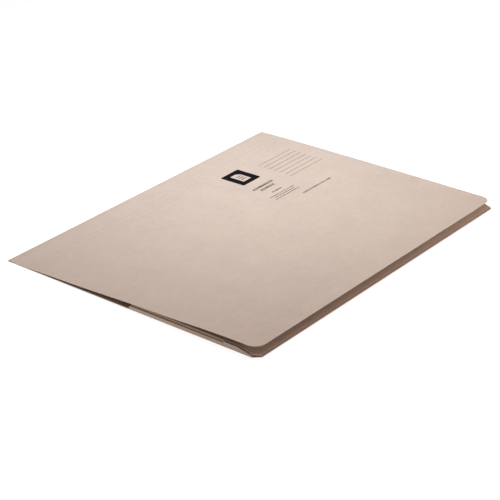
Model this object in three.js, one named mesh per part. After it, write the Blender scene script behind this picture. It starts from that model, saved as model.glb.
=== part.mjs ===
// Document wallet in plain buff card, foolscap size, lying with its flap closed.
// Lengths are millimetres and angles are degrees. X runs along the folds, +Y goes
// to the top fold, +Z is up, and the origin is under the middle, on the table.
// One blank of card makes it: the back, a flap that comes down from the top fold,
// and a half-height pocket that comes up from the bottom fold between two side gussets.

import * as THREE from 'three';

// Sheet sizes
const width = 355;
const depth = 250;
const card = 0.4;

// Folds: the card turns round a small hollow, and each panel starts a little off the axis
const foldHollow = 0.15;
const foldRelief = 0.85;
const creaseGap = 0.3;

// Three creases beside each long fold let the wallet take a thicker filling
const firstCrease = 20;
const secondCrease = 26;
const thirdCrease = 32;

// Flap
const flapLength = 248.1;
const flapCornerRadius = 10;
const flapClearance = 0.3;

// Pocket
const pocketMouth = 119;
const pocketClear = 4.2;
const cornerTrim = 6;
const mouthSlant = 5;

// Side gussets: a low wall, two plies folded inwards and a tab glued to the pocket
const gussetClearance = 0.3;
const gussetSetback = 0.6;
const plyTaper = 5;
const tabWidth = 12;
const glueThickness = 0.1;
const wallSlit = 0.4;
const wallNoseHeight = 0.5;

// The pocket is drawn nearly shut, and this is how far its bottom fold can still open
const fullExpansion = 65;

// Colours of the card and the dried glue
const cardColour = 0xd6c4b6;
const foldColour = 0xcbb8a9;
const innerColour = 0xc4b0a0;
const glueColour = 0xe3dac8;

const toRadians = THREE.MathUtils.degToRad;

// Sizes that follow from the ones above
const halfWidth = width / 2;
const halfDepth = depth / 2;
const foldRadius = foldHollow + card;
const foldY = halfDepth - foldRadius;
const foldZ = foldRadius;
const panelUnderside = card + pocketClear;
const panelTop = panelUnderside + card;
const mouthY = pocketMouth - halfDepth;

// Lean of the first pocket strip, so that the first crease is level with the pocket's underside
const creaseReach = Math.hypot(firstCrease, foldHollow);
const pocketLean = Math.asin((panelUnderside - foldZ) / creaseReach) - Math.atan2(foldHollow, firstCrease);
const firstCreaseY = firstCrease * Math.cos(pocketLean) - foldHollow * Math.sin(pocketLean) - foldY;
const thirdCreaseY = firstCreaseY + thirdCrease - firstCrease;

// Slope of the flap, so that it rests over the mouth of the pocket
const restHeight = panelTop + flapClearance - foldZ;
const restReach = foldY - mouthY;
const flapSlope = Math.atan2(restHeight, restReach) - Math.asin(foldHollow / Math.hypot(restHeight, restReach));

// Gusset levels, from the pocket's underside down to the wall
const tabTop = panelUnderside - glueThickness;
const tabUnderside = tabTop - card;
const upperFoldZ = tabUnderside - gussetClearance;
const lowerFoldZ = upperFoldZ - 2 * card - gussetClearance;
const wallTop = lowerFoldZ - foldHollow;
const gussetX = halfWidth - card;
const gussetStartY = thirdCreaseY + gussetSetback;

// The strips before the third crease turn together about the bottom fold, and past it the
// pocket stays level, so the two plies together are as tall as its rise when it is fully open
function pocketRise(turn) {
  const firstStrip = firstCrease * (Math.sin(pocketLean + turn) - Math.sin(pocketLean));
  const otherStrips = (thirdCrease - firstCrease) * Math.sin(turn);
  return firstStrip + otherStrips;
}
const fullTurn = toRadians(fullExpansion);
const plyWidth = pocketRise(fullTurn) / (2 * Math.sin(fullTurn));

// The die-cut mouth leans back, so each layer ends a little further in than the one below
function mouthEnd(z) {
  return mouthY + mouthSlant * (1 - (z - card) / (panelTop - card));
}

function cardMaterial(colour) {
  return new THREE.MeshStandardMaterial({ color: colour, roughness: 0.85, metalness: 0 });
}

function addSheet(parent, name, outline, thickness, lift, colour) {
  const geometry = new THREE.ExtrudeGeometry(outline, {
    depth: thickness, bevelEnabled: false, curveSegments: 12,
  });
  const mesh = new THREE.Mesh(geometry, cardMaterial(colour));
  mesh.name = name;
  mesh.position.z = lift;
  parent.add(mesh);
  return mesh;
}

// A profile drawn in Y and Z and extruded along X
function addProfile(parent, name, outline, length, startX, colour) {
  const geometry = new THREE.ExtrudeGeometry(outline, {
    depth: length, bevelEnabled: false, curveSegments: 16,
  });
  const alongX = new THREE.Matrix4().makeBasis(
    new THREE.Vector3(0, 1, 0), new THREE.Vector3(0, 0, 1), new THREE.Vector3(1, 0, 0),
  );
  geometry.applyMatrix4(alongX);
  const mesh = new THREE.Mesh(geometry, cardMaterial(colour));
  mesh.name = name;
  mesh.position.x = startX;
  parent.add(mesh);
  return mesh;
}

function polygon(points) {
  const shape = new THREE.Shape();
  shape.setFromPoints(points.map(([x, y]) => new THREE.Vector2(x, y)));
  return shape;
}

function rectangle(left, bottom, right, top) {
  return polygon([[left, bottom], [right, bottom], [right, top], [left, top]]);
}

// A group whose origin is a fold or crease, so that what hangs on it turns about that line
function addFoldLine(parent, x, y, z, turn = 0) {
  const line = new THREE.Group();
  line.position.set(x, y, z);
  line.rotation.x = turn;
  parent.add(line);
  return line;
}

// Half ring of card that joins two layers, facing +Y or -Y
function foldOutline(facing) {
  const shape = new THREE.Shape();
  const start = facing > 0 ? -Math.PI / 2 : Math.PI / 2;
  shape.absarc(0, 0, foldRadius, start, start + Math.PI, false);
  shape.absarc(0, 0, foldHollow, start + Math.PI, start, true);
  shape.closePath();
  return shape;
}

function buildBack(wallet) {
  const panelEnd = foldY - foldRelief;
  const trimmedX = halfWidth - cornerTrim + halfDepth - panelEnd;
  const outline = polygon([
    [-trimmedX, -panelEnd], [trimmedX, -panelEnd],
    [halfWidth, cornerTrim - halfDepth], [halfWidth, panelEnd],
    [-halfWidth, panelEnd], [-halfWidth, cornerTrim - halfDepth],
  ]);
  addSheet(wallet, 'back_panel', outline, card, 0, cardColour);
  const fold = addFoldLine(wallet, 0, -foldY, foldZ);
  const foldHalf = halfWidth - cornerTrim;
  addProfile(fold, 'bottom_fold', foldOutline(-1), 2 * foldHalf, -foldHalf, foldColour);
}

function buildFlap(wallet) {
  const topAxis = addFoldLine(wallet, 0, foldY, foldZ);
  addProfile(topAxis, 'top_fold', foldOutline(1), width, -halfWidth, foldColour);

  // The strips run towards -Y from the fold, and the crease axes lie on the underside
  const flap = addFoldLine(wallet, 0, foldY, foldZ, -flapSlope);
  const strips = [
    ['flap_strip_1', foldRelief, firstCrease - creaseGap / 2],
    ['flap_strip_2', firstCrease + creaseGap / 2, secondCrease - creaseGap / 2],
    ['flap_strip_3', secondCrease + creaseGap / 2, thirdCrease - creaseGap / 2],
  ];
  for (const [name, near, far] of strips) {
    addSheet(flap, name, rectangle(-halfWidth, -far, halfWidth, -near), card, foldHollow, cardColour);
  }

  const panel = new THREE.Shape();
  const panelStart = -(thirdCrease + creaseGap / 2);
  const cornerX = halfWidth - flapCornerRadius;
  const cornerY = flapCornerRadius - flapLength;
  panel.moveTo(-halfWidth, panelStart);
  panel.lineTo(-halfWidth, cornerY);
  panel.absarc(-cornerX, cornerY, flapCornerRadius, Math.PI, 1.5 * Math.PI, false);
  panel.absarc(cornerX, cornerY, flapCornerRadius, 1.5 * Math.PI, 2 * Math.PI, false);
  panel.lineTo(halfWidth, panelStart);
  panel.closePath();
  addSheet(flap, 'flap_panel', panel, card, foldHollow, cardColour);
}

function buildPocket(wallet) {
  // The first strip leans up from the bottom fold, and its sides are cut back towards the corners
  const lean = addFoldLine(wallet, 0, -foldY, foldZ, pocketLean);
  const stripEnd = firstCrease - creaseGap / 2;
  const cutBackX = halfWidth - cornerTrim * (1 - foldRelief / stripEnd);
  const firstStrip = polygon([
    [-cutBackX, foldRelief], [cutBackX, foldRelief], [halfWidth, stripEnd], [-halfWidth, stripEnd],
  ]);
  addSheet(lean, 'pocket_strip_1', firstStrip, card, foldHollow, cardColour);

  // Past the first crease the pocket lies level
  const level = addFoldLine(wallet, 0, firstCreaseY - firstCrease, panelUnderside);
  const strips = [
    ['pocket_strip_2', firstCrease + creaseGap / 2, secondCrease - creaseGap / 2],
    ['pocket_strip_3', secondCrease + creaseGap / 2, thirdCrease - creaseGap / 2],
  ];
  for (const [name, near, far] of strips) {
    addSheet(level, name, rectangle(-halfWidth, near, halfWidth, far), card, 0, cardColour);
  }
  const panelLength = mouthY - level.position.y;
  const panel = rectangle(-halfWidth, thirdCrease + creaseGap / 2, halfWidth, panelLength);
  addSheet(level, 'pocket_panel', panel, card, 0, cardColour);
}

// side is 1 for the right edge and -1 for the left one
function buildGusset(wallet, side, suffix) {
  const wallHigh = panelUnderside - wallSlit;
  const noseY = cornerTrim - halfDepth;
  const stepY = gussetStartY - gussetClearance;
  const wall = polygon([
    [noseY, card], [mouthEnd(card), card], [mouthEnd(wallTop), wallTop],
    [stepY, wallTop], [stepY, wallHigh], [firstCreaseY, wallHigh],
    [noseY, card + wallNoseHeight],
  ]);
  const wallX = side > 0 ? gussetX : -halfWidth;
  addProfile(wallet, `side_wall_${suffix}`, wall, card, wallX, cardColour);

  // Each ply turns about its outer edge; the inner edges meet in a free V crease
  function plyOutline(z) {
    const end = mouthEnd(z);
    return polygon([
      [-side * foldHollow, gussetStartY], [-side * foldHollow, end],
      [-side * plyWidth, end - plyTaper], [-side * plyWidth, gussetStartY],
    ]);
  }
  const lowerFold = addFoldLine(wallet, side * gussetX, 0, lowerFoldZ);
  addSheet(lowerFold, `gusset_lower_${suffix}`, plyOutline(lowerFoldZ), card, 0, innerColour);
  const upperFold = addFoldLine(wallet, side * gussetX, 0, upperFoldZ);
  addSheet(upperFold, `gusset_upper_${suffix}`, plyOutline(upperFoldZ), card, -card, innerColour);

  // The tab and its line of glue lie under the edge of the pocket
  const tabEnd = mouthEnd(tabUnderside);
  const tab = polygon([
    [side * gussetX, gussetStartY], [side * gussetX, tabEnd],
    [side * (gussetX - tabWidth), tabEnd - plyTaper], [side * (gussetX - tabWidth), gussetStartY],
  ]);
  addSheet(wallet, `glue_tab_${suffix}`, tab, card, tabUnderside, innerColour);
  const glueInset = tabWidth / 4;
  const glueEnd = tabEnd - plyTaper - glueInset;
  const glueEdges = [side * (gussetX - glueInset), side * (gussetX - tabWidth + glueInset)];
  const glue = rectangle(
    Math.min(...glueEdges), gussetStartY + glueInset, Math.max(...glueEdges), glueEnd,
  );
  addSheet(wallet, `glue_line_${suffix}`, glue, glueThickness, tabTop, glueColour);
}

const wallet = new THREE.Group();
buildBack(wallet);
buildPocket(wallet);
buildFlap(wallet);
buildGusset(wallet, 1, 'right');
buildGusset(wallet, -1, 'left');

export default wallet;
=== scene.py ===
import math

import bmesh
import bpy
import numpy as np
from mathutils import Matrix, Vector


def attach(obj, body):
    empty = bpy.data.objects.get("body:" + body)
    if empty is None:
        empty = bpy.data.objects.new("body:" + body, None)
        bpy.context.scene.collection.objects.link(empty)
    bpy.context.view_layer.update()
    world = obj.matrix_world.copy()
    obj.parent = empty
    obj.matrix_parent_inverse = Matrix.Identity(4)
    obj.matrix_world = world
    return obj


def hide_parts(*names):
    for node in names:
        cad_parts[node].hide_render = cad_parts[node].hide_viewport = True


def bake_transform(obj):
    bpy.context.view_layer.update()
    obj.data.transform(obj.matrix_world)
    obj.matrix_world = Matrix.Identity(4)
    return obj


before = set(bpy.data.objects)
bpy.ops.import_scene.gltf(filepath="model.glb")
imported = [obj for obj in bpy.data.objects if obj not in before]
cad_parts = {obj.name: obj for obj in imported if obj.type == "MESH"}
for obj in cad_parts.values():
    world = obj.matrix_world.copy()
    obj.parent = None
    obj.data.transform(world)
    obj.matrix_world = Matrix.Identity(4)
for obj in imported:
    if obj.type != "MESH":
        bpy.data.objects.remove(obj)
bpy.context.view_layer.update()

mm = 0.001               # lengths below are in millimetres, the frame is in metres


def newObject(name, data):
    piece = bpy.data.objects.new(name, data)
    bpy.context.scene.collection.objects.link(piece)
    return piece


def addNode(tree, kind, place, **values):
    node = tree.nodes.new(kind)
    node.location = place
    for key, value in values.items():
        setattr(node, key, value)
    return node


# Fills a socket with a link, a colour or a plain value
def feed(tree, socket, value):
    if isinstance(value, bpy.types.NodeSocket):
        tree.links.new(value, socket)
    elif isinstance(value, tuple):
        socket.default_value = (*value, 1)[:4]
    else:
        socket.default_value = value


def mixColour(tree, place, mode, factor, first, second):
    node = addNode(tree, "ShaderNodeMix", place, data_type="RGBA", blend_type=mode)
    for key, value in (("Factor", factor), (6, first), (7, second)):
        feed(tree, node.inputs[key], value)
    return node.outputs[2]


def maths(tree, place, operation, *values, clamp=False):
    node = addNode(tree, "ShaderNodeMath", place, operation=operation, use_clamp=clamp)
    for socket, value in zip(node.inputs, values):
        feed(tree, socket, value)
    return node.outputs[0]


def addNoise(tree, place, vector, scale, detail, roughness=0.5):
    node = addNode(tree, "ShaderNodeTexNoise", place)
    for key, value in (("Vector", vector), ("Scale", scale), ("Detail", detail), ("Roughness", roughness)):
        feed(tree, node.inputs[key], value)
    return node.outputs["Fac"]


def addBump(tree, place, height, strength, depth):
    node = addNode(tree, "ShaderNodeBump", place)
    for key, value in (("Height", height), ("Strength", strength), ("Distance", depth)):
        feed(tree, node.inputs[key], value)
    return node.outputs[0]


def newSockets(tree, direction, sockets):
    for name, kind, value in sockets:
        socket = tree.interface.new_socket(name=name, in_out=direction, socket_type=kind)
        if value is not None:
            socket.default_value = value


def evaluatedMesh(host):
    return bpy.data.meshes.new_from_object(host.evaluated_get(bpy.context.evaluated_depsgraph_get()))


# The camera stands at the near left corner, a little above the wallet
cameraSet = {
    "azimuth": -55.602,      # degrees
    "elevation": 26.422,
    "roll": 3.045,
    "aside": 8.292,          # where the origin lies, as the camera sees it
    "aloft": 13.798,
    "distance": 1734.585,
    "focalPixels": 2050.813,
    "framePixels": 500,
    "sensor": 36,
    "clip": (0.05, 20),      # metres
}


def addCamera(part):
    azimuth, elevation, roll = (math.radians(part[k]) for k in ("azimuth", "elevation", "roll"))
    back = Vector((math.sin(azimuth) * math.cos(elevation),
                   -math.cos(azimuth) * math.cos(elevation), math.sin(elevation)))
    right = Vector((math.cos(azimuth), math.sin(azimuth), 0))
    up = back.cross(right)
    axes = Matrix((math.cos(roll) * right + math.sin(roll) * up,
                   math.cos(roll) * up - math.sin(roll) * right, back))
    place = -(axes.transposed() @ Vector((part["aside"], part["aloft"], -part["distance"]))) * mm
    data = bpy.data.cameras.new("studioCamera")
    data.sensor_fit = "HORIZONTAL"
    data.sensor_width = part["sensor"]
    data.lens = part["focalPixels"] / part["framePixels"] * part["sensor"]
    data.clip_start, data.clip_end = part["clip"]
    camera = newObject("studioCamera", data)
    camera.matrix_world = Matrix.Translation(place) @ axes.transposed().to_4x4()
    bpy.context.scene.camera = camera


addCamera(cameraSet)
print("camera placed")

# The wallet's main lengths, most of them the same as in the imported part
wallet = {
    "halfWidth": 177.5,
    "halfDepth": 125,
    "card": 0.4,
    "hollow": 0.15,          # inside radius of a folded edge
    "relief": 0.85,          # where a panel starts, measured from its fold line
    "foldTake": 1.1,         # card that goes round a fold
    "foldY": 124.45,
    "foldZ": 0.55,
    "trims": (6, 2.5),       # cut off the corners at the left and right end of the bottom fold
    "creases": (20, 26, 32),
    "creaseGap": 0.3,        # length over which the last crease turns
}
halfWidth, card, hollow = wallet["halfWidth"], wallet["card"], wallet["hollow"]
foldY, foldZ, relief = wallet["foldY"], wallet["foldZ"], wallet["relief"]
panelEnd = foldY - relief
firstCrease, lastCrease = wallet["creases"][0], wallet["creases"][-1]

# How every sheet of card is drawn
sheetSet = {
    "softEdge": 0.07,        # rounding of a cut edge
    "edgeBand": 0.5,         # width of the paler band beside it
    "bandWear": 0.7,         # how pale that band starts, where the cut edge itself has 1
    "faceShift": 40,         # the upper face reads the pulp this far from the lower one
    "closest": 0.01,         # rows nearer than this to an end are left out
    "sharp": 35,             # degrees
}
softEdge, edgeBand = sheetSet["softEdge"], sheetSet["edgeBand"]


def smooth(value, low, high):
    t = min(1, max(0, (value - low) / (high - low)))
    return t * t * (3 - 2 * t)


def bell(away, width):
    return math.exp(-(away / width) ** 2)


# Even steps from low up to high, which is left out
def spaced(low, high, step):
    count = max(1, round((high - low) / step))
    return [low + (high - low) * i / count for i in range(count)]


# A smooth curve through (place, value) knots, level at both ends
def curveThrough(knots, at):
    if at <= knots[0][0]:
        return knots[0][1]
    if at >= knots[-1][0]:
        return knots[-1][1]
    k = max(i for i, knot in enumerate(knots[:-1]) if knot[0] <= at)

    def slope(i):
        if i in (0, len(knots) - 1):
            return 0
        return (knots[i + 1][1] - knots[i - 1][1]) / (knots[i + 1][0] - knots[i - 1][0])
    (start, low), (end, high) = knots[k:k + 2]
    t = (at - start) / (end - start)
    return ((2 * t ** 3 - 3 * t ** 2 + 1) * low + (t ** 3 - 2 * t ** 2 + t) * (end - start) * slope(k)
            + (3 * t ** 2 - 2 * t ** 3) * high + (t ** 3 - t ** 2) * (end - start) * slope(k + 1))


# A point on a panel that leans up from its fold: how far it is from the middle, and its height
def leanedPoint(lean, along, rise):
    return (foldY - along * math.cos(lean) + rise * math.sin(lean),
            foldZ + along * math.sin(lean) + rise * math.cos(lean))


def finishMesh(mesh):
    shell = bmesh.new()
    shell.from_mesh(mesh)
    bmesh.ops.recalc_face_normals(shell, faces=shell.faces)
    shell.to_mesh(mesh)
    shell.free()
    mesh.shade_smooth()
    mesh.set_sharp_from_angle(angle=math.radians(sheetSet["sharp"]))


# Gives every point its place on the flat blank, and how cut, folded and creased the card is there
def markPoints(mesh, places, wears=()):
    mesh.attributes.new("cardPlace", "FLOAT_VECTOR", "POINT").data.foreach_set(
        "vector", (np.array(places) * mm).astype(np.float32).ravel())
    if wears:
        mesh.attributes.new("cardWear", "FLOAT_COLOR", "POINT").data.foreach_set(
            "color", np.array(wears, np.float32).ravel())


# A closed sheet over a grid: rows run along the path, columns across it.
# limits(s) gives both ends of a row, place(u, s, h) its point, with h from 0 to the card's thickness,
# blank(u, s) its place on the flat blank and wear(u, s) how folded and creased it is there.
def makeSheet(name, rows, limits, place, blank, wear=None, columns=48, joined=(False, False), thick=card):
    first = rows[0] if joined[0] else rows[0] + softEdge
    last = rows[-1] if joined[1] else rows[-1] - softEdge
    closest = sheetSet["closest"]
    inner = [first] + [s for s in rows[1:-1] if first + closest < s < last - closest] + [last]
    span = limits(rows[len(rows) // 2])
    band = edgeBand / (span[1] - span[0])
    shares = [0, band] + [c / columns for c in range(1, columns)] + [1 - band, 1]
    m, n = len(inner) - 1, len(shares) - 1
    grid = []
    for i, s in enumerate(inner):
        low, high = limits(rows[0] if i == 0 else rows[-1] if i == m else s)
        low, high = low + softEdge, high - softEdge
        grid.append([(low + (high - low) * c, s) for c in shares])
    ring = [(0, j) for j in range(n)] + [(i, n) for i in range(m)]
    ring += [(m, j) for j in range(n, 0, -1)] + [(i, 0) for i in range(m, 0, -1)]

    points, places, wears = [], [], []

    def addPoint(u, s, h, cut):
        points.append([v * mm for v in place(u, s, h)])
        places.append((*blank(u, s), h + (sheetSet["faceShift"] if h > thick / 2 else 0)))
        wears.append((cut, *(wear(u, s) if wear else (0, 0)), 1))
        return len(points) - 1

    top = [[addPoint(u, s, thick, 0) for u, s in row] for row in grid]
    bottom = [[addPoint(u, s, 0, 0) for u, s in row] for row in grid]
    rims = []
    for h in (thick - softEdge, softEdge):
        rim = []
        for i, j in ring:
            u, s = grid[i][j]
            s = rows[0] if i == 0 else rows[-1] if i == m else s
            if j in (0, n):
                u = limits(s)[0 if j == 0 else 1]
            rim.append(addPoint(u, s, h, 1))
        rims.append(rim)
    for i, j in ring:
        for layer in (top, bottom):
            wears[layer[i][j]] = (sheetSet["bandWear"], *wears[layer[i][j]][1:])

    faces = []
    for i in range(m):
        for j in range(n):
            faces.append((top[i][j], top[i][j + 1], top[i + 1][j + 1], top[i + 1][j]))
            faces.append((bottom[i][j], bottom[i + 1][j], bottom[i + 1][j + 1], bottom[i][j + 1]))
    loops = [[top[i][j] for i, j in ring], *rims, [bottom[i][j] for i, j in ring]]
    for upper, lower in zip(loops, loops[1:]):
        for k in range(len(ring)):
            after = (k + 1) % len(ring)
            faces.append((upper[k], lower[k], lower[after], upper[after]))

    mesh = bpy.data.meshes.new(name)
    mesh.from_pydata(points, [], faces)
    markPoints(mesh, places, wears)
    finishMesh(mesh)
    return newObject(name, mesh)


# A scored crease shows as a low bead with a shallow hollow on both sides, and is rubbed like a fold
creaseSet = {
    "height": 0.03,
    "halfWidth": 0.9,
    "dip": 0.01,
    "dipAway": 1.5,
    "rubWidth": 0.7,
    "foldRubWidth": 3.5,
}


def creaseLift(s):
    lift = 0
    for line in wallet["creases"]:
        away = abs(s - line)
        lift += creaseSet["height"] * bell(away, creaseSet["halfWidth"]) ** 2
        lift -= creaseSet["dip"] * bell(away - creaseSet["dipAway"], creaseSet["halfWidth"])
    return lift


def foldWear(away):
    return bell(away, creaseSet["foldRubWidth"])


def panelWear(u, s):
    return foldWear(s), sum(bell(s - line, creaseSet["rubWidth"]) for line in wallet["creases"])


# Distances between the rows of a creased panel: at its ends, up to the creases, over them and past them
rowSet = {"end": 1.2, "coarse": 2.4, "fine": 0.2, "plain": 7.5, "creaseReach": 2.6}


def creaseRows(start, end):
    low, high = firstCrease - rowSet["creaseReach"], lastCrease + rowSet["creaseReach"]
    rows = [start, start + edgeBand]
    rows += spaced(start + rowSet["end"], low, rowSet["coarse"])
    rows += spaced(low, high, rowSet["fine"])
    rows += spaced(high, end - rowSet["end"], rowSet["plain"])
    return rows + [end - rowSet["end"], end - edgeBand, end]


# The side walls fold up from the back between its bottom corners, which are cut off, and wallEnd
backSet = {
    "wallEnd": -0.1,
    "wallFoot": 177.1,
    "notch": 0.02,           # length over which the edge steps out past a wall
    "trimEnd": -118,
    "trimStep": 0.8,
}


def backLimits(y):
    half = backSet["wallFoot"] if y < backSet["wallEnd"] else halfWidth
    left, right = (min(half, halfWidth - trim + (y + wallet["halfDepth"])) for trim in wallet["trims"])
    return -left, right


def makeBack():
    notch = backSet["wallEnd"] - backSet["notch"]
    rows = [-panelEnd] + spaced(-panelEnd + edgeBand, backSet["trimEnd"], backSet["trimStep"])
    rows += spaced(backSet["trimEnd"], notch, rowSet["plain"]) + [notch]
    rows += spaced(backSet["wallEnd"], panelEnd, rowSet["plain"]) + [panelEnd]
    return makeSheet("backPanel", rows, backLimits, lambda u, s, h: (u, s, h), lambda u, s: (u, s),
                     lambda u, s: (foldWear(foldY - abs(s)), 0), joined=(True, True))


# A fold is a strip of the back, a half ring round the fold line and the start of the panel that leans up.
# The path goes from -relief to 0, over the ring to 1 and on to 1 + relief, and h is 0 on the inside.
foldSet = {
    "ringSteps": 16,
    "turn": (0.4, 0.7),      # the heights between which it turns
    "narrowed": 0.5,         # the bottom fold is as narrow as the pocket after this share of its ring
}


def ringRows(steps):
    return [i / steps for i in range(steps + 1)]


def makeFold(name, side, lean, limits):
    arc = math.pi - lean
    rows = [-relief, -relief / 2, *ringRows(foldSet["ringSteps"]), 1 + relief / 2, 1 + relief]

    def place(u, s, h):
        rise = hollow + h
        if s < 0:
            return u, side * (foldY + s), foldZ - rise
        if s > 1:
            y, z = leanedPoint(lean, s - 1, rise)
            return u, side * y, z
        turn = s * arc - math.pi / 2
        return u, side * (foldY + rise * math.cos(turn)), foldZ + rise * math.sin(turn)
    return makeSheet(name, rows, limits, place, lambda u, s: (u, side * (foldY + s)), lambda u, s: (1, 0),
                     joined=(True, True))


flapSet = {
    "lean": math.radians(2.0195),
    "length": 248.1,
    "cornerRadius": 10,
    "cornerStep": 6,         # degrees
    "columns": 60,
    "mouth": 130,            # past here, where it no longer lies on the pocket's mouth, the flap is skewed
    "skew": (0.35, -0.3),    # the free edge isn't quite parallel to the fold: left and right end
    # how the card bows off a flat flap at its left and right edge: distance from the fold, rise
    "bows": (
        [(0.85, 0), (6, -0.42), (18, -0.8), (26, -0.86), (40, -0.82), (55, -0.86), (72, -0.82), (88, -0.66),
         (104, -0.4), (118, -0.16), (128, -0.06), (150, -0.12), (170, -0.06), (186, 0.15), (202, 0.32),
         (220, 0.26), (236, -0.1), (248.1, -0.6)],
        [(0.85, 0), (12, 0.3), (40, 0.5), (80, 0.35), (110, 0.1), (130, -0.08), (160, -0.4), (190, -0.75),
         (220, -1.1), (248.1, -1.35)],
    ),
}
# A faint ripple that starts past the creases and fades out where the flap lies on the pocket's mouth
rippleSet = {
    "height": 0.02,
    "start": (32, 90),
    "fade": (100, 125),
    "again": (135, 160),
    "across": 41,
    "shift": 0.6,
    "along": 57,
}


def flapLimits(s):
    radius = flapSet["cornerRadius"]
    into = max(0, s - (flapSet["length"] - radius))
    half = halfWidth - radius + math.sqrt(radius ** 2 - min(into, radius) ** 2)
    return -half, half


def flapPlace(u, s, h):
    share = (u + halfWidth) / (2 * halfWidth)

    def across(left, right):
        return left * (1 - share) + right * share
    bow = across(*(curveThrough(knots, s) for knots in flapSet["bows"]))
    past = max(0, s - flapSet["mouth"]) / (flapSet["length"] - flapSet["mouth"])
    s += across(*flapSet["skew"]) * past ** 2
    w = rippleSet
    loose = smooth(s, *w["start"]) * (1 - smooth(s, *w["fade"]) + smooth(s, *w["again"]))
    ripple = w["height"] * loose * math.sin(u / w["across"] + w["shift"]) * math.cos(s / w["along"])
    y, z = leanedPoint(flapSet["lean"], s, hollow + h + creaseLift(s))
    return u, y, z + bow + ripple


def makeFlap():
    radius = flapSet["cornerRadius"]
    straight = flapSet["length"] - radius
    rows = creaseRows(relief, straight)[:-2]
    rows += [straight + radius * math.sin(math.radians(a)) for a in range(0, 91, flapSet["cornerStep"])]
    return makeSheet("flap", rows, flapLimits, flapPlace, lambda u, s: (u, foldY + wallet["foldTake"] + s),
                     panelWear, flapSet["columns"], (True, False))


pocketSet = {
    "lean": math.radians(11.253),
    "underside": 4.6,
    "firstCreaseY": -104.8638,
    "bend": (19.4, 20.6),    # the first crease, where the strip turns level, is rounded over this length
    "mouth": -2.4,
    "setBack": 1.2,          # its side edges lie a little inside the side walls
    "trimRows": (-0.12, 0, 0.12),   # round the end of each cut corner
    "columns": 60,
}


def pocketLimits(s):
    left, right = (max(pocketSet["setBack"], trim - s) for trim in wallet["trims"])
    return left - halfWidth, halfWidth - right


def pocketPlace(u, s, h):
    rise = hollow + h + creaseLift(s)
    y, z = leanedPoint(pocketSet["lean"], s, rise)
    level = (pocketSet["firstCreaseY"] + s - firstCrease, pocketSet["underside"] + rise - hollow)
    part = smooth(s, *pocketSet["bend"])
    return u, *(a + (b - a) * part for a, b in zip((-y, z), level))


def makePocket():
    end = firstCrease + pocketSet["mouth"] - pocketSet["firstCreaseY"]
    turns = [trim - pocketSet["setBack"] + d for trim in wallet["trims"] for d in pocketSet["trimRows"]]
    return makeSheet("pocketFront", sorted(creaseRows(relief, end) + turns), pocketLimits, pocketPlace,
                     lambda u, s: (u, -foldY - wallet["foldTake"] - s), panelWear, pocketSet["columns"],
                     (True, False))


# Each side gusset: a wall up from the back, a lower ply folded in from its top, and an upper ply with a tab
gussetSet = {
    "start": -92.2638,
    "mouth": -2.4,
    "slant": 2.3,            # how far its mouth end leans back over the pocket's height
    "width": 14.565,         # of a ply
    "taper": 5.0,            # how much shorter a ply is at its free edge
    "tabWidth": 12.0,
    "lowerRing": (176.95, 2.55),    # x and z of the middle of the small ring between wall and lower ply
    "upperRing": (175.9, 3.95),     # and between tab and upper ply
    "upperTurnX": 177,
    "ringSteps": (8, 12),    # in a quarter ring and in a half ring
    "plyStep": 2.2,
    "plyEnd": 1,             # these steps stop this far from a ply's free edge
    "lowerStart": 0.8,       # and start this far past the ring, where the upper ply has one more row
    "upperStarts": (0.4, 1),
    "tabStart": 1.5,         # on the tab from this far inside its free edge
    "tabEnds": (-0.4, -0.3),    # and up to these rows before the ring
    "columns": 16,
    "blanks": {"wall": 177, "lower": 180, "upper": 200},    # where each is on the flat blank
}
wallSet = {
    "high": 4.2,             # past the ends of the plies
    "plyGap": 0.3,
    "nose": (-119.3, 1.6),   # y and height of its low end
    "footRound": 0.3,
    "footBevel": {"segments": 5, "profile": 0.5},
    "edgeBevel": {"segments": 2, "profile": 0.6},
    "sharp": 60,             # degrees
    "nearFace": 0.01,
}


def mouthEnd(z):
    return gussetSet["mouth"] + gussetSet["slant"] * (1 - (z - card) / pocketSet["underside"])


# A flat plate from its outline in y and z, with a rounded foot and softened edges
def makeWall(name, side):
    w = wallSet
    top, gap = gussetSet["lowerRing"][1], gussetSet["start"] - w["plyGap"]
    outline = [(w["nose"][0], 0), (mouthEnd(0), 0), (mouthEnd(top), top), (gap, top), (gap, w["high"]),
               (pocketSet["firstCreaseY"], w["high"]), w["nose"]]
    shell = bmesh.new()
    inner, outer = ([shell.verts.new([v * mm for v in (side * x, y, z)]) for y, z in outline]
                    for x in (halfWidth - card, halfWidth))
    shell.faces.new(outer)
    shell.faces.new(inner[::-1])
    for k in range(len(outline)):
        after = (k + 1) % len(outline)
        shell.faces.new((outer[k], inner[k], inner[after], outer[after]))
    shell.normal_update()
    foot = [e for e in shell.edges if all(v in outer and v.co.z < w["nearFace"] * mm for v in e.verts)]
    bmesh.ops.bevel(shell, geom=foot, offset=w["footRound"] * mm, affect="EDGES", **w["footBevel"])
    sharp = math.radians(w["sharp"])
    rest = [e for e in shell.edges if len(e.link_faces) == 2 and e.calc_face_angle() > sharp]
    bmesh.ops.bevel(shell, geom=rest, offset=softEdge * mm, affect="EDGES", **w["edgeBevel"])
    bmesh.ops.triangulate(shell, faces=[f for f in shell.faces if len(f.verts) > 4])
    mesh = bpy.data.meshes.new(name)
    shell.to_mesh(mesh)
    shell.free()
    finishMesh(mesh)
    places, wears = [], []
    for vert in mesh.vertices:
        x, y, z = (v / mm for v in vert.co)
        places.append((side * (gussetSet["blanks"]["wall"] + z), y, x))
        between = halfWidth - card + w["nearFace"] < abs(x) < halfWidth - w["nearFace"]
        wears.append((1 if between and z > card else 0, 1 if z < card else 0, 0, 1))
    markPoints(mesh, places, wears)
    return newObject(name, mesh)


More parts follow.
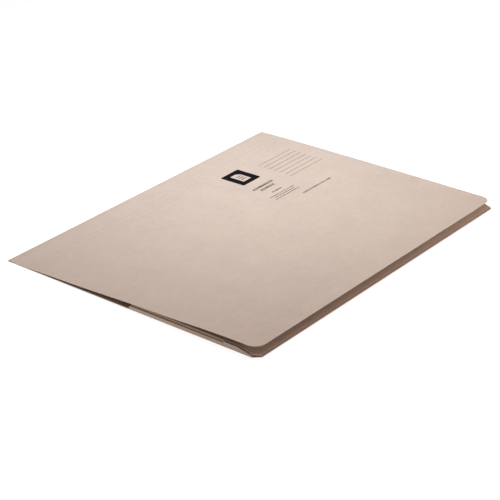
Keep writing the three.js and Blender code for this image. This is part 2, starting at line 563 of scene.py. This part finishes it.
# The lower ply: a quarter ring at the top of the wall, then the ply going inwards
def makeLowerPly(name, side):
    g = gussetSet
    ringX, ringZ = g["lowerRing"]
    end = 1 + g["width"] - hollow
    rows = ringRows(g["ringSteps"][0]) + spaced(1 + g["lowerStart"], end - g["plyEnd"], g["plyStep"])
    rows += [end - edgeBand, end]

    def place(u, s, h):
        rise = hollow + h
        if s < 1:
            turn = math.pi * (1 - s / 2)
            return side * (ringX - rise * math.cos(turn)), u, ringZ + rise * math.sin(turn)
        return side * (ringX + 1 - s), u, ringZ + rise

    def limits(s):
        return g["start"], mouthEnd(ringZ + hollow) - g["taper"] * max(0, s - 1 + hollow) / g["width"]
    return makeSheet(name, rows, limits, place, lambda u, s: (side * (g["blanks"]["lower"] + s), u),
                     columns=g["columns"], joined=(True, False))


# The upper ply and the glued tab are one folded strip: tab, half ring, ply
def makeUpperPly(name, side):
    g = gussetSet
    ringX, ringZ = g["upperRing"]
    tab = pocketSet["setBack"] - g["tabWidth"]
    end = 1 + g["width"] - hollow - (g["lowerRing"][0] - ringX)
    tabEnd, beforeRing = g["tabEnds"]
    afterRing, plyStart = g["upperStarts"]
    rows = [tab, tab + edgeBand] + spaced(tab + g["tabStart"], tabEnd, g["plyStep"]) + [beforeRing]
    rows += ringRows(g["ringSteps"][1]) + [1 + afterRing]
    rows += spaced(1 + plyStart, end - g["plyEnd"], g["plyStep"]) + [end - edgeBand, end]

    def place(u, s, h):
        rise = hollow + h
        if s < 0:
            return side * (ringX + s), u, ringZ + rise
        if s > 1:
            return side * (ringX + 1 - s), u, ringZ - rise
        turn = math.pi * (s + 0.5)
        return side * (ringX - rise * math.cos(turn)), u, ringZ + rise * math.sin(turn)

    def limits(s):
        into = -s / g["tabWidth"] if s < 0 else max(0, s - 1) / g["width"]
        z = ringZ + hollow - 2 * hollow * min(1, max(0, s))
        return g["start"], mouthEnd(z) - g["taper"] * into
    return makeSheet(name, rows, limits, place, lambda u, s: (side * (g["blanks"]["upper"] + s), u),
                     columns=g["columns"])


# A dried line of glue on each tab, its edges a little uneven and its ends narrow
glueSet = {
    "low": 4.47,
    "high": 4.63,
    "near": 174.1,
    "far": 168.1,
    "start": -89.26,
    "end": -14.03,
    "inset": 0.6,
    "ripple": 0.35,
    "turns": (0.9, 2.3),     # radians per millimetre, of a long ripple and a short one half as high
    "shares": (0.5, 0.7),    # of the ripple at the inner and the outer edge
    "pinch": 2.2,
    "pinchLength": 3,
    "step": 0.9,
    "columns": 4,
}


def makeGlue(name, side):
    g = glueSet
    start, end = g["start"], g["end"]
    (longTurn, shortTurn), (inner, outer) = g["turns"], g["shares"]

    def limits(s):
        wobble = g["ripple"] * (math.sin(s * longTurn + side) + 0.5 * math.sin(s * shortTurn))
        ends = 1 - smooth(s, start, start + g["pinchLength"]) + smooth(s, end - g["pinchLength"], end)
        pinch = g["inset"] + g["pinch"] * ends
        return g["far"] + pinch + wobble * inner, g["near"] - pinch + wobble * outer
    return makeSheet(name, spaced(start, end, g["step"]) + [end], limits,
                     lambda u, s, h: (side * u, s, g["low"] + h), lambda u, s: (side * u, s),
                     columns=g["columns"], thick=g["high"] - g["low"])


# Ink reaches into the card and stands a little on it, so that it follows the bow without a gap
inkSet = {"sink": 0.1, "rise": 0.025}
inkDepth = inkSet["sink"] + inkSet["rise"]
inkMiddle = (inkSet["rise"] - inkSet["sink"]) / 2


# Lays a flat mesh, drawn about the middle of its ink, on the flap with its origin at u and s
def layOnFlap(mesh, u, s):
    mesh.transform(Matrix.Translation((0, 0, inkMiddle)))
    places = []
    for vert in mesh.vertices:
        a, b, h = vert.co
        vert.co = [v * mm for v in flapPlace(u + a, s + b, card + h)]
        places.append((u + a, foldY + wallet["foldTake"] + s + b, sheetSet["faceShift"]))
    markPoints(mesh, places)
    finishMesh(mesh)
    return newObject(mesh.name, mesh)


# Equal strokes in a row or a column: long ones make ruled lines, short ones plain marks
def buildStrokeTree():
    tree = bpy.data.node_groups.new("inkStrokes", "GeometryNodeTree")
    newSockets(tree, "INPUT", [
        ("Strokes", "NodeSocketInt", 7), ("Step", "NodeSocketVector", (0, 6, 0)),
        ("Stroke", "NodeSocketVector", (50, 0.4, 0.1)), ("Shortest", "NodeSocketFloat", 1.0),
        ("Seed", "NodeSocketInt", 3), ("Pieces", "NodeSocketInt", 9), ("Ink", "NodeSocketMaterial", None),
    ])
    newSockets(tree, "OUTPUT", [("Geometry", "NodeSocketGeometry", None)])
    inside = addNode(tree, "NodeGroupInput", (-900, 0)).outputs
    line = addNode(tree, "GeometryNodeMeshLine", (-600, 200))
    feed(tree, line.inputs["Count"], inside["Strokes"])
    feed(tree, line.inputs["Offset"], inside["Step"])
    half = maths(tree, (-800, 500), "MULTIPLY_ADD", inside["Strokes"], -0.5, 0.5)
    middle = addNode(tree, "ShaderNodeVectorMath", (-600, 500), operation="SCALE")
    feed(tree, middle.inputs[0], inside["Step"])
    feed(tree, middle.inputs["Scale"], half)
    feed(tree, line.inputs["Start Location"], middle.outputs[0])
    block = addNode(tree, "GeometryNodeMeshCube", (-600, -100))
    feed(tree, block.inputs["Size"], inside["Stroke"])
    feed(tree, block.inputs["Vertices X"], inside["Pieces"])
    size = addNode(tree, "FunctionNodeRandomValue", (-600, -400), data_type="FLOAT")
    feed(tree, size.inputs[2], inside["Shortest"])
    feed(tree, size.inputs[3], 1.0)
    feed(tree, size.inputs["Seed"], inside["Seed"])
    scale = addNode(tree, "ShaderNodeCombineXYZ", (-400, -300))
    for socket, value in zip(scale.inputs, (size.outputs[1], 1.0, 1.0)):
        feed(tree, socket, value)
    spread = addNode(tree, "GeometryNodeInstanceOnPoints", (-200, 100))
    feed(tree, spread.inputs["Points"], line.outputs[0])
    feed(tree, spread.inputs["Instance"], block.outputs["Mesh"])
    feed(tree, spread.inputs["Scale"], scale.outputs[0])
    real = addNode(tree, "GeometryNodeRealizeInstances", (0, 100))
    feed(tree, real.inputs[0], spread.outputs[0])
    paint = addNode(tree, "GeometryNodeSetMaterial", (200, 100))
    feed(tree, paint.inputs["Geometry"], real.outputs[0])
    feed(tree, paint.inputs["Material"], inside["Ink"])
    feed(tree, addNode(tree, "NodeGroupOutput", (400, 100)).inputs[0], paint.outputs[0])
    return tree


# Runs a tree on an empty mesh and gives back the plain mesh
def runTree(name, tree, values):
    host = newObject(name, bpy.data.meshes.new(name + "Host"))
    modifier = host.modifiers.new(name, "NODES")
    modifier.node_group = tree
    for item in tree.interface.items_tree:
        if item.item_type == "SOCKET" and item.in_out == "INPUT" and item.name in values:
            modifier[item.identifier] = values[item.name]
    made = evaluatedMesh(host)
    bpy.data.objects.remove(host)
    return made


# Seven ruled lines
ruledSet = [{"u": 132.7, "s": 63.66, "Strokes": 7, "Step": (0, 5.92, 0), "Stroke": (50.0, 0.95, inkDepth),
             "Shortest": 1.0, "Seed": 3, "Pieces": 14}]
# Rows of plain marks: u and s of the middle, width, height, number of marks, share that the shortest has
markRows = [
    (74.5, 74.2, 29.5, 2.6, 9, 0.62),
    (74.2, 79.7, 20.0, 2.6, 6, 0.62),
    (74.5, 89.6, 14.5, 1.8, 6, 0.6),
    (74.2, 95.3, 36.0, 1.1, 18, 0.5),
    (74.2, 98.2, 30.0, 1.1, 15, 0.5),
    (74.2, 101.3, 36.0, 1.1, 18, 0.5),
    (104.7, 111.7, 43.0, 1.8, 19, 0.55),
]
markSet = {"fill": 0.86, "firstSeed": 11, "pieces": 2}


def markStrokes():
    strokes = []
    for number, (u, s, width, height, marks, shortest) in enumerate(markRows):
        pitch = width / marks
        strokes.append({"u": u, "s": s, "Strokes": marks, "Step": (pitch, 0, 0),
                        "Stroke": (pitch * markSet["fill"], height, inkDepth), "Shortest": shortest,
                        "Seed": markSet["firstSeed"] + number, "Pieces": markSet["pieces"]})
    return strokes


def makeStrokes(name, tree, ink, strokes):
    whole = bmesh.new()
    for values in strokes:
        mesh = runTree(name + "Row", tree, dict(values, Ink=ink))
        mesh.transform(Matrix.Translation((values["u"], values["s"], 0)))
        whole.from_mesh(mesh)
        bpy.data.meshes.remove(mesh)
    mesh = bpy.data.meshes.new(name)
    whole.to_mesh(mesh)
    whole.free()
    mesh.materials.append(ink)
    return layOnFlap(mesh, 0, 0)


# A dark rounded square with a plain sheet left open in it, which has a cut corner and three short bars
squareSet = {
    "u": 76.7,
    "s": 48.55,
    "half": 12.9,
    "round": 1.6,
    "roundSteps": 6,
    "sheet": (5.6, 7.6),
    "cutCorner": 3.4,
    "barHalf": (3.4, 0.45),
    "bars": (-3.6, -0.6, 2.4),
    "merge": 0.001,
}


def makePrintedSquare(ink):
    q = squareSet
    wide, high = q["sheet"]
    barWide, barHigh = q["barHalf"]
    square = []
    for right, up, start in ((1, 1, 0), (-1, 1, 90), (-1, -1, 180), (1, -1, 270)):
        for k in range(q["roundSteps"] + 1):
            turn = math.radians(start + 90 * k / q["roundSteps"])
            square.append((right * (q["half"] - q["round"]) + q["round"] * math.cos(turn),
                           up * (q["half"] - q["round"]) + q["round"] * math.sin(turn)))
    sheet = [(-wide, -high), (wide, -high), (wide, high - q["cutCorner"]), (wide - q["cutCorner"], high),
             (-wide, high)]
    bars = [[(a * barWide, level + b * barHigh) for a, b in ((-1, -1), (1, -1), (1, 1), (-1, 1))]
            for level in q["bars"]]
    curve = bpy.data.curves.new("printedSquare", "CURVE")
    curve.dimensions = "2D"
    curve.fill_mode = "BOTH"
    curve.extrude = inkDepth / 2
    for points in (square, sheet, *bars):
        spline = curve.splines.new("POLY")
        spline.points.add(len(points) - 1)
        for point, (a, b) in zip(spline.points, points):
            point.co = (a, -b, 0, 1)
        spline.use_cyclic_u = True
    host = newObject("printedSquareHost", curve)
    mesh = evaluatedMesh(host)
    bpy.data.objects.remove(host)
    mesh.name = "printedSquare"
    shell = bmesh.new()
    shell.from_mesh(mesh)
    bmesh.ops.remove_doubles(shell, verts=shell.verts, dist=q["merge"])
    shell.to_mesh(mesh)
    shell.free()
    mesh.materials.clear()
    mesh.materials.append(ink)
    return layOnFlap(mesh, q["u"], q["s"])


# Noise layers of manilla card: scale, detail, roughness, share of that scale across the grain, turn
pulpSet = {
    "cloud": (38, 5, 0.55, 1, 0),
    "mottle": (210, 4, 0.6, 0.7, 0),
    "fibre": (900, 3, 0.65, 0.28, 0),
    "grain": (2600, 2, 0.5, 1, 0),
    "hairs": (1150, 1, 0.4, 0.22, 0.5),
    "crossHairs": (1150, 1, 0.4, 0.22, -0.8),
}
# How those layers and the wear are used
cardSet = {
    "fleck": (0.74, 0.82),   # a hair shows as a fleck where its noise is above these
    "rubFloor": 0.45,
    "rubbed": (0.86, 0.82, 0.79),
    "cutShare": 0.65,
    "roughness": (0.2, 0.66),
    "fibreHeight": 0.6,
    "grainHeight": 0.4,
    "depth": 0.06,           # of the bump
}


# Cloudy pulp, fibres along the grain, sparse flecks, paler cut edges and rubbed folds
def buildCardGroup():
    group = bpy.data.node_groups.new("cardPulp", "ShaderNodeTree")
    newSockets(group, "INPUT", [
        ("Place", "NodeSocketVector", None), ("Wear", "NodeSocketColor", (0, 0, 0, 1)),
        ("Card", "NodeSocketColor", (0.6, 0.5, 0.4, 1)), ("Fleck", "NodeSocketColor", (0.3, 0.2, 0.15, 1)),
        ("Cut Edge", "NodeSocketColor", (0.8, 0.7, 0.6, 1)),
        *((name, "NodeSocketFloat", 0.5) for name in ("Cloud", "Fibre", "Flecks", "Rub")),
    ])
    newSockets(group, "OUTPUT", [("Color", "NodeSocketColor", None), ("Roughness", "NodeSocketFloat", None),
                                 ("Height", "NodeSocketFloat", None)])
    inside = addNode(group, "NodeGroupInput", (-1400, 0)).outputs
    outside = addNode(group, "NodeGroupOutput", (900, 0)).inputs
    link = group.links.new

    def sums(x, y, operation, *values, clamp=False):
        return maths(group, (x, y), operation, *values, clamp=clamp)

    layers = {}
    for k, (name, (scale, detail, roughness, across, turn)) in enumerate(pulpSet.items()):
        mapping = addNode(group, "ShaderNodeMapping", (-1100, 500 - 250 * k), vector_type="TEXTURE")
        mapping.inputs["Scale"].default_value = (1 / across, 1, 1)
        mapping.inputs["Rotation"].default_value[2] = turn
        link(inside["Place"], mapping.inputs["Vector"])
        layers[name] = addNoise(group, (-900, 500 - 250 * k), mapping.outputs[0], scale, detail, roughness)

    swings = []
    for y, name, strength in ((500, "cloud", "Cloud"), (250, "mottle", "Cloud"), (0, "fibre", "Fibre")):
        about = sums(-750, y, "SUBTRACT", layers[name], 0.5)
        swings.append(sums(-600, y, "MULTIPLY", about, inside[strength]))
    tone = sums(-400, 300, "ADD", sums(-500, 400, "ADD", swings[0], swings[1]), swings[2])
    value = sums(-250, 300, "ADD", tone, 1)
    shade = addNode(group, "ShaderNodeCombineColor", (-100, 300))
    for channel in shade.inputs:
        link(value, channel)
    base = mixColour(group, (80, 300), "MULTIPLY", 1.0, inside["Card"], shade.outputs[0])

    fleckRange = addNode(group, "ShaderNodeMapRange", (-500, -500), interpolation_type="SMOOTHSTEP")
    spots = sums(-650, -550, "MAXIMUM", layers["hairs"], layers["crossHairs"])
    for key, value in zip(("Value", "From Min", "From Max"), (spots, *cardSet["fleck"])):
        feed(group, fleckRange.inputs[key], value)
    flecks = sums(-300, -500, "MULTIPLY", fleckRange.outputs[0], inside["Flecks"])
    flecked = mixColour(group, (260, 300), "MIX", flecks, base, inside["Fleck"])

    wear = addNode(group, "ShaderNodeSeparateColor", (-500, -750))
    link(inside["Wear"], wear.inputs[0])
    cut, folded, creased = wear.outputs[:3]
    rubbedFold = sums(-150, -650, "MULTIPLY", sums(-300, -650, "MULTIPLY", folded, inside["Rub"]),
                      sums(-300, -800, "ADD", layers["fibre"], cardSet["rubFloor"]), clamp=True)
    rubbedCrease = sums(-150, -900, "MULTIPLY", creased, inside["Rub"])
    rubbed = sums(0, -700, "MAXIMUM", rubbedFold, rubbedCrease)
    darker = mixColour(group, (440, 300), "MULTIPLY", rubbed, flecked, cardSet["rubbed"])
    cutAmount = sums(0, -500, "MULTIPLY", cut, cardSet["cutShare"])
    link(mixColour(group, (620, 300), "MIX", cutAmount, darker, inside["Cut Edge"]), outside["Color"])

    link(sums(150, -100, "MULTIPLY_ADD", layers["mottle"], *cardSet["roughness"]), outside["Roughness"])
    height = sums(300, -300, "ADD", sums(150, -250, "MULTIPLY", layers["fibre"], cardSet["fibreHeight"]),
                  sums(150, -350, "MULTIPLY", layers["grain"], cardSet["grainHeight"]))
    link(height, outside["Height"])
    return group


cardGroup = buildCardGroup()


def newMaterial(name, gloss):
    material = bpy.data.materials.new(name)
    material.use_nodes = True
    tree = material.node_tree
    shader = tree.nodes["Principled BSDF"].inputs
    shader["Specular IOR Level"].default_value = gloss
    return material, tree, shader


def cardMaterial(name, settings):
    material, tree, shader = newMaterial(name, settings["gloss"])
    group = addNode(tree, "ShaderNodeGroup", (-300, 0), node_tree=cardGroup)
    place = addNode(tree, "ShaderNodeAttribute", (-600, 100), attribute_name="cardPlace")
    wear = addNode(tree, "ShaderNodeAttribute", (-600, -200), attribute_name="cardWear")
    feed(tree, group.inputs["Place"], place.outputs["Vector"])
    feed(tree, group.inputs["Wear"], wear.outputs["Color"])
    for key in ("Card", "Fleck", "Cut Edge", "Cloud", "Fibre", "Flecks", "Rub"):
        feed(tree, group.inputs[key], settings[key])
    feed(tree, shader["Base Color"], group.outputs["Color"])
    feed(tree, shader["Roughness"], group.outputs["Roughness"])
    feed(tree, shader["Normal"],
         addBump(tree, (-100, -300), group.outputs["Height"], settings["bump"], cardSet["depth"] * mm))
    return material


# Screen values from 0 to 255 as the linear colour that Blender takes
def linear(*rgb):
    return tuple(((v / 255 + 0.055) / 1.055) ** 2.4 if v > 10 else v / 255 / 12.92 for v in rgb)


plainCard = {
    "Card": linear(214, 191, 175), "Fleck": linear(150, 122, 100), "Cut Edge": linear(224, 209, 194),
    "Cloud": 0.16, "Fibre": 0.14, "Flecks": 0.35, "Rub": 0.3, "bump": 0.35, "gloss": 0.35,
}
foldedCard = {
    "Card": linear(210, 186, 169), "Fleck": linear(150, 122, 100), "Cut Edge": linear(222, 206, 190),
    "Cloud": 0.16, "Fibre": 0.2, "Flecks": 0.35, "Rub": 0.7, "bump": 0.5, "gloss": 0.35,
}
# Darker than the outer card: partly the duller inner face of the card, partly painted shade for the plies
# under the flap
innerCardAndShade = {
    "Card": linear(192, 166, 148), "Fleck": linear(146, 118, 96), "Cut Edge": linear(196, 172, 154),
    "Cloud": 0.18, "Fibre": 0.18, "Flecks": 0.5, "Rub": 0.5, "bump": 0.5, "gloss": 0.3,
}
pocketEdgeShade = {"Cut Edge": linear(188, 163, 145)}             # cut edge darkened: painted shade, the flap's shadow on the pocket's edge
shadedRubbedFold = {"Card": linear(184, 153, 134), "Rub": 0.9}    # the fold that the wallet is held by, more rubbed (wear); its darker colour is painted shade
darkInk = {
    "Card": linear(33, 27, 29), "Fleck": linear(60, 52, 48), "Cut Edge": linear(36, 32, 31),
    "Cloud": 0.5, "Fibre": 0.6, "Flecks": 0.7, "Rub": 0.0, "bump": 0.3, "gloss": 0.0,
}
markInk = {
    "Card": linear(97, 82, 77), "Fleck": linear(136, 122, 112), "Cut Edge": linear(100, 88, 82),
    "Cloud": 0.5, "Fibre": 0.6, "Flecks": 0.7, "Rub": 0.0, "bump": 0.3, "gloss": 0.1,
}
lineInk = {
    "Card": linear(167, 146, 136), "Fleck": linear(190, 168, 154), "Cut Edge": linear(172, 152, 142),
    "Cloud": 0.4, "Fibre": 0.5, "Flecks": 0.7, "Rub": 0.0, "bump": 0.3, "gloss": 0.35,
}
finishes = {name: cardMaterial(name + "Finish", settings) for name, settings in {
    "card": plainCard, "folded_card": foldedCard, "inner_card": innerCardAndShade,
    "pocketCardShadedEdge": plainCard | pocketEdgeShade, "shadedRubbedFold": foldedCard | shadedRubbedFold,
    "ink": darkInk, "markInk": markInk, "lineInk": lineInk}.items()}

# Dried glue: an amber film, paler where it is thick
glueFinish = {
    "thin": linear(214, 200, 176),
    "thick": linear(232, 224, 206),
    "gloss": 0.5,
    "roughness": (0.3, 0.25),
    "noise": (260, 3),
    "bump": 0.4,
    "depth": 0.05,
}


def makeGlueMaterial(part):
    material, tree, shader = newMaterial("driedGlueFinish", part["gloss"])
    place = addNode(tree, "ShaderNodeAttribute", (-900, 0), attribute_name="cardPlace")
    film = addNoise(tree, (-700, 0), place.outputs["Vector"], *part["noise"])
    feed(tree, shader["Base Color"], mixColour(tree, (-450, 100), "MIX", film, part["thin"], part["thick"]))
    feed(tree, shader["Roughness"], maths(tree, (-450, -100), "MULTIPLY_ADD", film, *part["roughness"]))
    feed(tree, shader["Normal"], addBump(tree, (-250, -250), film, part["bump"], part["depth"] * mm))
    return material


finishes["dried_glue"] = makeGlueMaterial(glueFinish)
print("finishes built")


# Gives a piece its slot, and the finish of the slot's name where no other is named
def dress(piece, slot, finish=None):
    piece.data.materials.clear()
    piece.data.materials.append(finishes[finish or slot])
    return piece


back = dress(makeBack(), "card")
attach(back, "back")
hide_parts("back_panel")

topFold = dress(makeFold("topFold", 1, flapSet["lean"], lambda s: (-halfWidth, halfWidth)), "folded_card")
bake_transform(topFold)
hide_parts("top_fold")


# The bottom fold is cut back with the corner of the back on one side and the first strip on the other
def bottomFoldLimits(s):
    if s > 1:
        return pocketLimits(s - 1)
    wider = foldZ - s if s < 0 else foldZ * (1 - smooth(s, 0, foldSet["narrowed"]))
    left, right = (halfWidth - trim + wider for trim in wallet["trims"])
    return -left, right


bottomFold = makeFold("bottomFold", -1, pocketSet["lean"], bottomFoldLimits)
# The bottom fold's darker colour is painted shade; its stronger rub is wear
dress(bottomFold, "folded_card", "shadedRubbedFold")
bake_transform(bottomFold)
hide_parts("bottom_fold")

flap = dress(makeFlap(), "card")
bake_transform(flap)
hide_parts("flap_strip_1", "flap_strip_2", "flap_strip_3", "flap_panel")

# The pocket's cut edges are darker: painted shade under the flap
pocket = dress(makePocket(), "card", "pocketCardShadedEdge")
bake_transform(pocket)
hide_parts("pocket_strip_1", "pocket_strip_2", "pocket_strip_3", "pocket_panel")

for suffix, side in (("Left", -1), ("Right", 1)):
    low = suffix.lower()
    wall = dress(makeWall("sideWall" + suffix, side), "card")
    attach(wall, "back")
    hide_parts("side_wall_" + low)
    lower = dress(makeLowerPly("lowerPly" + suffix, side), "inner_card")
    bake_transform(lower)
    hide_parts("gusset_lower_" + low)
    upper = dress(makeUpperPly("upperPly" + suffix, side), "inner_card")
    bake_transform(upper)
    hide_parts("gusset_upper_" + low, "glue_tab_" + low)
    glue = dress(makeGlue("glueLine" + suffix, side), "dried_glue")
    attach(glue, "pocket_front")
    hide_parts("glue_line_" + low)
print("card folded")

strokeTree = buildStrokeTree()
for printed in (makeStrokes("ruledLines", strokeTree, finishes["lineInk"], ruledSet),
                makeStrokes("printedMarks", strokeTree, finishes["markInk"], markStrokes()),
                makePrintedSquare(finishes["ink"])):
    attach(printed, "flap_front")
print("flap printed")

# Metres, except floorDrop, which keeps the floor just under the wallet
studioSet = {
    "floorHalf": 3.0,
    "floorDrop": 0.15,
    "floorColour": (0.6, 0.6, 0.6),
    "floorGlow": 0.76,       # how bright the floor looks round the wallet, fading to white with distance
    "floorFade": (0.55, 1.3),
    "worldLight": 0.12,
    "worldTint": (1.0, 0.94, 0.88),
}


# 1 for what the camera sees straight, in a mirror or through glass
def seenRays(tree):
    path = addNode(tree, "ShaderNodeLightPath", (-400, 200)).outputs
    mirrored = maths(tree, (-200, 0), "MAXIMUM", path["Is Glossy Ray"], path["Is Transmission Ray"])
    return maths(tree, (-200, 200), "MAXIMUM", path["Is Camera Ray"], mirrored)


# The floor takes light and shadow like a grey one, looks nearly white, and is clear from below
def makeFloor():
    mesh = bpy.data.meshes.new("studioFloor")
    half, z = studioSet["floorHalf"], -studioSet["floorDrop"] * mm
    corners = [(x * half, y * half, z) for x, y in ((-1, -1), (1, -1), (1, 1), (-1, 1))]
    mesh.from_pydata(corners, [], [(0, 1, 2, 3)])
    newObject("studioFloor", mesh)
    material = bpy.data.materials.new("studioFloorFinish")
    material.use_nodes = True
    tree = material.node_tree
    tree.nodes.clear()
    diffuse = addNode(tree, "ShaderNodeBsdfDiffuse", (0, 0))
    feed(tree, diffuse.inputs["Color"], studioSet["floorColour"])
    place = addNode(tree, "ShaderNodeTexCoord", (-800, -300))
    away = addNode(tree, "ShaderNodeVectorMath", (-600, -300), operation="LENGTH")
    feed(tree, away.inputs[0], place.outputs["Object"])
    paler = addNode(tree, "ShaderNodeMapRange", (-400, -300), interpolation_type="SMOOTHSTEP")
    for key, value in zip(("Value", "From Min", "From Max", "To Min", "To Max"),
                          (away.outputs["Value"], *studioSet["floorFade"], studioSet["floorGlow"], 1.0)):
        feed(tree, paler.inputs[key], value)
    glow = addNode(tree, "ShaderNodeEmission", (0, -200))
    shown = maths(tree, (-50, -350), "MULTIPLY", seenRays(tree), paler.outputs[0])
    feed(tree, glow.inputs["Strength"], shown)
    both = addNode(tree, "ShaderNodeAddShader", (200, 0))
    feed(tree, both.inputs[0], diffuse.outputs[0])
    feed(tree, both.inputs[1], glow.outputs[0])
    clear = addNode(tree, "ShaderNodeBsdfTransparent", (200, -200))
    below = addNode(tree, "ShaderNodeNewGeometry", (200, 300))
    mix = addNode(tree, "ShaderNodeMixShader", (400, 0))
    for socket, value in zip(mix.inputs, (below.outputs["Backfacing"], both.outputs[0], clear.outputs[0])):
        feed(tree, socket, value)
    feed(tree, addNode(tree, "ShaderNodeOutputMaterial", (600, 0)).inputs["Surface"], mix.outputs[0])
    mesh.materials.append(material)


# The world gives a little warm light, and looks white
def makeWorld():
    world = bpy.data.worlds.new("studioWorld")
    bpy.context.scene.world = world
    world.use_nodes = True
    tree = world.node_tree
    tree.nodes.clear()
    light = addNode(tree, "ShaderNodeBackground", (0, 0))
    feed(tree, light.inputs["Color"], studioSet["worldTint"])
    feed(tree, light.inputs["Strength"], studioSet["worldLight"])
    shown = addNode(tree, "ShaderNodeBackground", (0, -200))
    feed(tree, shown.inputs["Color"], (1, 1, 1))
    feed(tree, shown.inputs["Strength"], 1)
    mix = addNode(tree, "ShaderNodeMixShader", (200, 0))
    for socket, value in zip(mix.inputs, (seenRays(tree), light.outputs[0], shown.outputs[0])):
        feed(tree, socket, value)
    feed(tree, addNode(tree, "ShaderNodeOutputWorld", (400, 0)).inputs["Surface"], mix.outputs[0])


# Three lights from above and two low ones at the sides; places and sizes in metres
lights = [
    {"name": "keyLight", "place": (0.12, 0.12, 0.45), "target": (0.12, 0.12, 0),
     "size": (0.3, 0.3), "power": 0.89, "colour": (0.88, 1.025, 1.12)},
    {"name": "middleLight", "place": (0.1, 0.1, 0.33), "target": (0.1, 0.1, 0),
     "size": (0.22, 0.22), "power": 0.555, "colour": (0.88, 1.046, 1.12)},
    {"name": "warmLight", "place": (-0.25, -0.15, 0.9), "target": (-0.1, -0.05, 0),
     "size": (0.6, 0.6), "power": 1.93, "colour": (1.12, 0.9, 0.88)},
    {"name": "lowLeftLight", "place": (-0.75, 0.25, 0.02), "target": (-0.1, -0.05, 0.005),
     "size": (0.4, 0.03), "power": 1.12, "colour": (0.96, 1.05, 0.986)},
    {"name": "lowRightLight", "place": (0.65, -0.45, 0.12), "target": (0.1, -0.1, 0.01),
     "size": (0.5, 0.09), "power": 2.5, "colour": (1.11, 0.98, 0.86)},
]


def addLight(name, place, target, size, power, colour):
    data = bpy.data.lights.new(name, "AREA")
    data.shape = "RECTANGLE"
    data.size, data.size_y = size
    data.energy = power
    data.color = colour
    lamp = newObject(name, data)
    lamp.visible_camera = False
    lamp.location = place
    lamp.rotation_mode = "QUATERNION"
    lamp.rotation_quaternion = (Vector(target) - Vector(place)).to_track_quat("-Z", "Y")


makeFloor()
makeWorld()
for light in lights:
    addLight(**light)
bpy.context.scene.view_settings.view_transform = "Standard"
print("studio lit")
